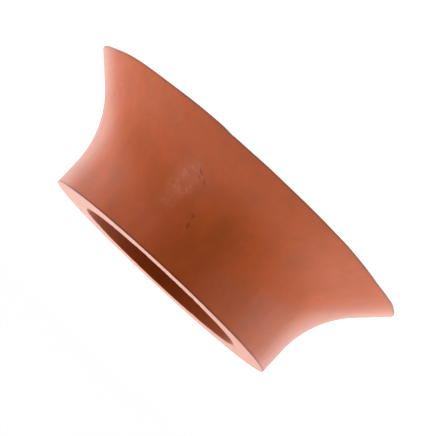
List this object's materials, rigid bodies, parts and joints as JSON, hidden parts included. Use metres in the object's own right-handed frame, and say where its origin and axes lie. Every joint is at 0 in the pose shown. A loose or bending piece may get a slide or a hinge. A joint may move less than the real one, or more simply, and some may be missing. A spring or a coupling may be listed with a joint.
{
  "type": "flared rubber pipe seal",
  "caption": "Thick rubber ring with a straight bore and a short neck that sweeps out through a hollow curve into a wide flared lip.",
  "frame": {"origin": "centre of the flat face at the wide end, on which the ring stands", "axes": "+Z along the ring's axis, from the wide end towards the neck; the ring is the same all round, so X and Y are free"},
  "size_m": [0.1196, 0.1196, 0.0392],
  "materials": {
    "red_rubber": "satin moulded red rubber"
  },
  "bodies": {
    "root": {"seal_ring": "red_rubber"}
  },
  "joints": []
}
